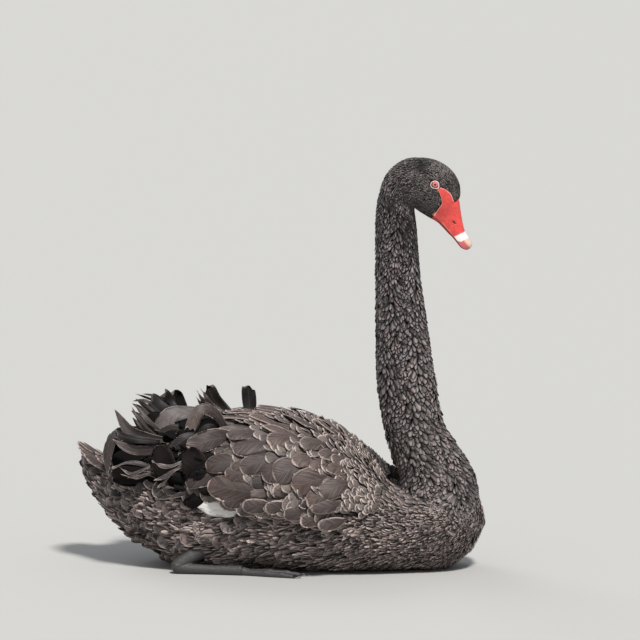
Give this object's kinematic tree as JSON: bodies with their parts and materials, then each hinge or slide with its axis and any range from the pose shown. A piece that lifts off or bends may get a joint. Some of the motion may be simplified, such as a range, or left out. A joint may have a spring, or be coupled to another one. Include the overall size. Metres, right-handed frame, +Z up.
{
  "type": "black swan figure",
  "caption": "Life-size black swan resting on its belly, neck upright, red bill with a pale band, curled wing feathers raised over the back.",
  "frame": {"origin": "on the floor under the middle of the body, in the middle of the flat of the belly", "axes": "+Z up, +X towards the breast and the way the bird faces, +Y towards its left side"},
  "size_m": [0.5859, 0.31, 0.598],
  "materials": {
    "dark_plumage": "matt black-brown feathers with paler edges",
    "brown_plumage": "matt dark brown-grey feathers",
    "white_quill": "matt white flight feathers",
    "red_bill": "satin red horn with a white band and a pale nail",
    "red_eye": "wet gloss, red iris round a black pupil",
    "foot_skin": "satin dark grey scaled skin"
  },
  "bodies": {
    "root": {"head": "dark_plumage", "neck_upper": "dark_plumage", "neck_lower": "dark_plumage", "torso": "brown_plumage", "tail": "brown_plumage", "wing_left": "dark_plumage", "wing_right": "dark_plumage", "primaries_left": "white_quill", "primaries_right": "white_quill", "bill_upper": "red_bill", "bill_lower": "red_bill", "eye_left": "red_eye", "eye_right": "red_eye", "leg_left": "foot_skin", "leg_right": "foot_skin", "foot_left": "foot_skin", "foot_right": "foot_skin"}
  },
  "joints": []
}
